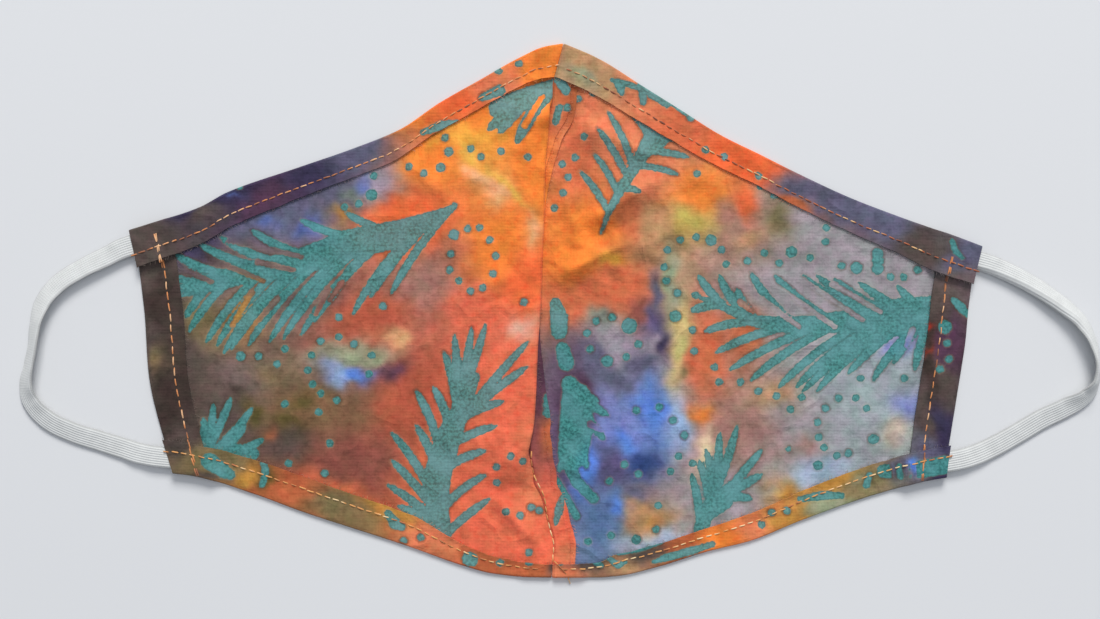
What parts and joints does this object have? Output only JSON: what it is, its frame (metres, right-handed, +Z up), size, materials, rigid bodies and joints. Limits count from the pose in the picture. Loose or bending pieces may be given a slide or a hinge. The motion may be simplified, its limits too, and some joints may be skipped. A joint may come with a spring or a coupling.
{
  "type": "cloth face mask",
  "caption": "Contoured cotton face mask lying flat with its wearer's side up, with a folded centre seam, turned hems and flat elastic ear loops.",
  "frame": {"origin": "on the surface that the mask lies on, under the middle of the mask's outline without its ear loops", "axes": "+X along the mask's width, to the right as seen by someone looking down on its wearer's side with the nose away from them, +Y towards the nose point, +Z up out of the wearer's side"},
  "size_m": [0.3099, 0.153, 0.0064],
  "materials": {
    "left_cloth": "printed plain-weave cotton, matte",
    "right_cloth": "printed plain-weave cotton, matte",
    "hem_cloth": "printed plain-weave cotton, matte, pressed flat and stitched",
    "seam_cloth": "printed plain-weave cotton with raw cut edges, matte",
    "elastic": "white knitted elastic with fine lengthwise ribs"
  },
  "bodies": {
    "root": {"left_panel": "left_cloth", "right_panel": "right_cloth", "seam_allowance": "seam_cloth", "left_top_hem": "hem_cloth", "right_top_hem": "hem_cloth", "left_bottom_hem": "hem_cloth", "right_bottom_hem": "hem_cloth", "left_side_hem": "hem_cloth", "right_side_hem": "hem_cloth", "left_ear_loop": "elastic", "right_ear_loop": "elastic"}
  },
  "joints": []
}
